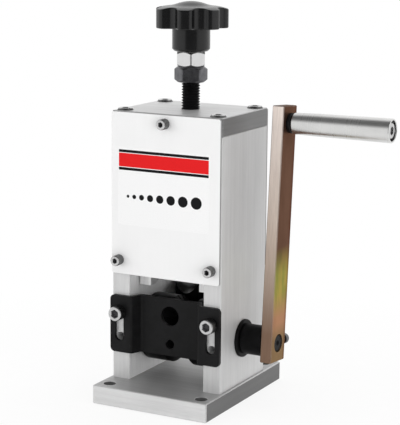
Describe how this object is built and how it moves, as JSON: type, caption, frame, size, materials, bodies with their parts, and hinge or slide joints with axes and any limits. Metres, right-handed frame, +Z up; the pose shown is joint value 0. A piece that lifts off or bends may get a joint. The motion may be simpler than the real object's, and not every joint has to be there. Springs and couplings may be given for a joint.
{
  "type": "hand crank wire stripper",
  "caption": "Bench wire stripper: a hand crank turns a grooved feed roller under a round blade that a star knob raises and lowers in a boxed aluminium housing.",
  "frame": {"origin": "centre of the base plate's underside", "axes": "+Z up, +X towards the crank, -Y the front where the wire goes in"},
  "size_m": [0.1778, 0.109, 0.2605],
  "materials": {
    "aluminium_plate": "brushed",
    "white_sheet": "satin white powder coat",
    "label_film": "printed film",
    "black_sheet": "satin black",
    "black_steel": "black oxide",
    "plated_steel": "bright zinc",
    "yellow_zinc": "yellow passivated zinc",
    "polished_steel": "fine turned",
    "knob_plastic": "gloss black",
    "black_nylon": "satin",
    "bronze": "turned",
    "blade_steel": "ground"
  },
  "bodies": {
    "housing": {"base_plate": "aluminium_plate", "left_side_plate": "aluminium_plate", "right_side_plate": "aluminium_plate", "top_plate": "aluminium_plate", "front_cover": "white_sheet", "rear_cover": "white_sheet", "front_label": "label_film", "top_plate_screws": "plated_steel", "base_screws": "plated_steel", "cover_screws": "plated_steel", "guide_screws": "plated_steel", "left_bush": "black_steel", "right_bush": "black_steel", "thrust_washers": "bronze"},
    "inlet_guide": {"front_wire_guide": "black_sheet"},
    "outlet_guide": {"rear_wire_guide": "black_sheet"},
    "carriage": {"blade_carrier": "aluminium_plate", "blade_axle": "polished_steel", "blade_spacers": "polished_steel", "axle_grub_screws": "black_steel", "retainer_plate": "black_steel", "retainer_screws": "plated_steel"},
    "blade": {"blade_disc": "blade_steel", "blade_bush": "bronze"},
    "spindle": {"threaded_spindle": "black_steel", "lock_nut": "black_steel", "plated_nut": "plated_steel", "star_knob": "knob_plastic", "knob_insert": "plated_steel"},
    "crank": {"feed_shaft": "black_steel", "feed_roller": "black_steel", "roller_key": "black_steel", "crank_collar": "black_steel", "collar_grub_screw": "black_steel", "crank_arm": "yellow_zinc", "arm_clamp_screw": "plated_steel", "handle_pin": "plated_steel", "handle_washer": "black_nylon"},
    "grip": {"handle_sleeve": "polished_steel", "handle_bushes": "black_nylon"}
  },
  "joints": [
    {"name": "crank_turn", "type": "hinge", "parent": "housing", "child": "crank", "pos_m": [0, 0, 0.0425], "axis": [1, 0, 0], "continuous": true},
    {"name": "grip_spin", "type": "hinge", "parent": "crank", "child": "grip", "pos_m": [0.09, 0.01122, 0.18506], "axis": [1, 0, 0], "continuous": true},
    {"name": "blade_height", "type": "slide", "parent": "housing", "child": "carriage", "axis": [0, 0, 1], "range_m": [-0.012, 0.008]},
    {"name": "knob_turn", "type": "hinge", "parent": "carriage", "child": "spindle", "pos_m": [0, 0, 0.24], "axis": [0, 0, 1], "range_deg": [-2468.57, 1645.71]},
    {"name": "blade_spin", "type": "hinge", "parent": "carriage", "child": "blade", "pos_m": [0, 0, 0.089], "axis": [1, 0, 0], "continuous": true},
    {"name": "inlet_guide_slide", "type": "slide", "parent": "housing", "child": "inlet_guide", "axis": [0, 0, 1], "range_m": [0, 0.014]},
    {"name": "outlet_guide_slide", "type": "slide", "parent": "housing", "child": "outlet_guide", "axis": [0, 0, 1], "range_m": [0, 0.014]}
  ],
  "couplings": [
    {"joint": "knob_turn", "follows": "blade_height", "rad_per_m": 3590.4}
  ]
}
